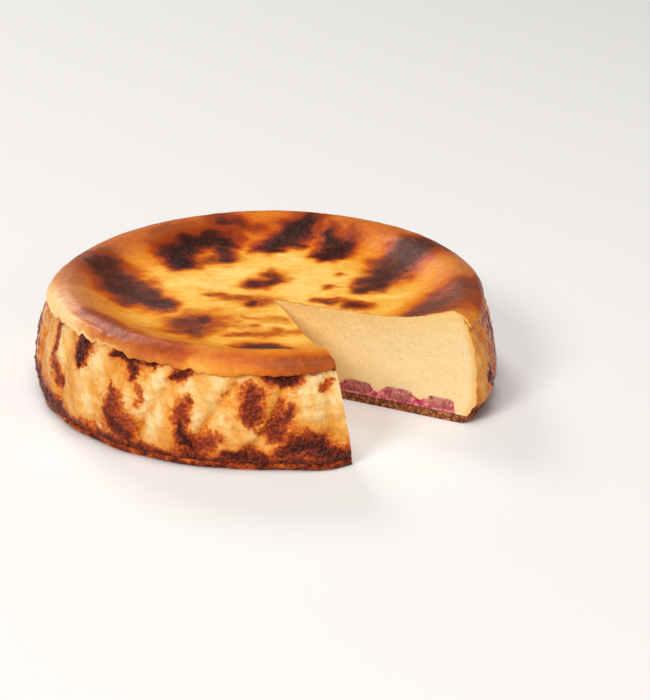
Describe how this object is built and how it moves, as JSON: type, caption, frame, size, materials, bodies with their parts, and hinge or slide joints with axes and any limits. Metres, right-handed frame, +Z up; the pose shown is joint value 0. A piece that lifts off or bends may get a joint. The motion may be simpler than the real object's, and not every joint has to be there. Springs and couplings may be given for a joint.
{
  "type": "baked cheesecake",
  "caption": "Round baked cheesecake with a burnt skin over a sunken top, folded browned side and fruit layer on a biscuit base, with a wedge cut out.",
  "frame": {"origin": "under the middle of the cake's box, on the underside of the biscuit base", "axes": "+Z up through the cake's height; the missing wedge opens towards +X and -Y"},
  "size_m": [0.22, 0.2202, 0.0516],
  "materials": {
    "baked_cheese": "satin burnt skin over pale cream",
    "fruit_compote": "moist",
    "biscuit": "crumbly",
    "poached_pear": "moist"
  },
  "bodies": {
    "root": {"cheesecake": "baked_cheese", "fruit_layer": "fruit_compote", "biscuit_base": "biscuit", "pear_piece_1": "poached_pear", "pear_piece_2": "poached_pear", "pear_piece_3": "poached_pear", "pear_piece_4": "poached_pear", "pear_piece_5": "poached_pear", "pear_piece_6": "poached_pear", "pear_piece_7": "poached_pear", "pear_piece_8": "poached_pear"}
  },
  "joints": []
}
